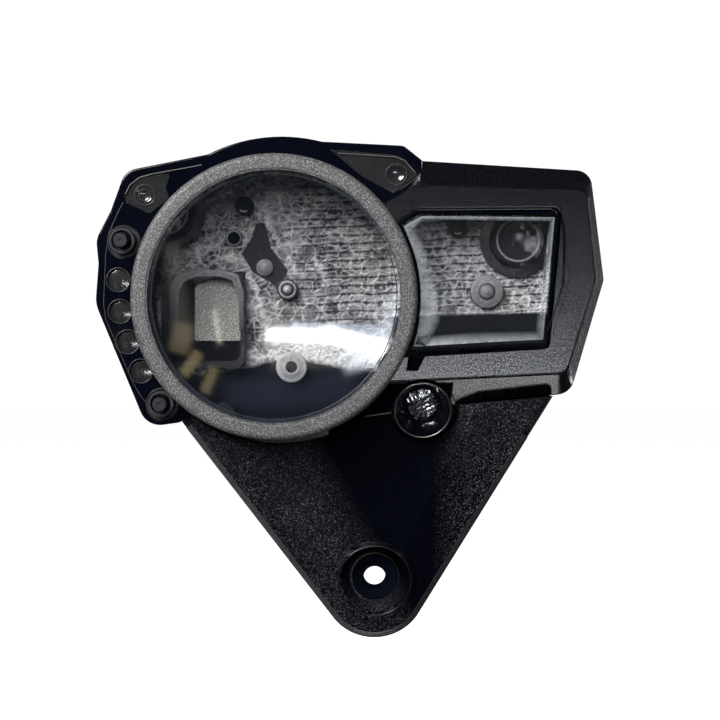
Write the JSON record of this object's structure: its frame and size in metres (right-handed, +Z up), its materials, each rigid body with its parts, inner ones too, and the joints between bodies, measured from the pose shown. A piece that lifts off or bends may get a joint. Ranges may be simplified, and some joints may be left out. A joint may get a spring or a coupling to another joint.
{
  "type": "motorcycle instrument cluster housing",
  "caption": "Sport-motorcycle instrument cluster housing: round dial window, display window, lamp lenses, push buttons, shift light and triangular lower shroud.",
  "frame": {"origin": "on the axis of the lower mount's rubber bush, in the plane that the three mounts rest on", "axes": "+Z up towards the dial, +X to the right of someone facing the dial, +Y from the dial's face back to the mounts"},
  "size_m": [0.2172, 0.06, 0.2194],
  "materials": {
    "textured_plastic": "fine spark-eroded grain, satin",
    "gloss_frame": "polished black",
    "case_plastic": "semi-gloss black",
    "cover_plastic": "coarse grain, grey",
    "clear_lens": "polished clear polycarbonate",
    "lamp_lens": "clear polycarbonate, slightly diffusing",
    "faceted_lens": "prismatic clear",
    "button_plastic": "satin",
    "boot_rubber": "matte",
    "seal_rubber": "matte",
    "screw_steel": "zinc plated",
    "grommet_rubber": "matte"
  },
  "bodies": {
    "housing": {"front_cover": "textured_plastic", "inner_frame": "gloss_frame", "rear_case": "case_plastic", "port_cover": "cover_plastic", "tail_shroud": "textured_plastic", "tach_lens": "clear_lens", "display_lens": "clear_lens", "turn_lens_left": "lamp_lens", "turn_lens_right": "lamp_lens", "indicator_lens_1": "lamp_lens", "indicator_lens_2": "lamp_lens", "indicator_lens_3": "lamp_lens", "indicator_lens_4": "lamp_lens", "shift_light_lens": "faceted_lens", "shift_light_housing": "case_plastic", "select_boot": "boot_rubber", "adjust_boot": "boot_rubber", "case_seal": "seal_rubber", "tach_lens_seal": "seal_rubber", "display_lens_seal": "seal_rubber", "case_screws": "screw_steel", "shroud_screws": "screw_steel", "mount_grommet_left": "grommet_rubber", "mount_grommet_right": "grommet_rubber", "tail_grommet": "grommet_rubber"},
    "select_plunger": {"select_button": "button_plastic"},
    "adjust_plunger": {"adjust_button": "button_plastic"}
  },
  "joints": [
    {"name": "select_press", "type": "slide", "parent": "housing", "child": "select_plunger", "axis": [0, 1, 0], "range_m": [0, 0.0015], "stiffness_N_per_m": 900, "springref_m": -0.0006},
    {"name": "adjust_press", "type": "slide", "parent": "housing", "child": "adjust_plunger", "axis": [0, 1, 0], "range_m": [0, 0.0015], "stiffness_N_per_m": 900, "springref_m": -0.0006}
  ]
}
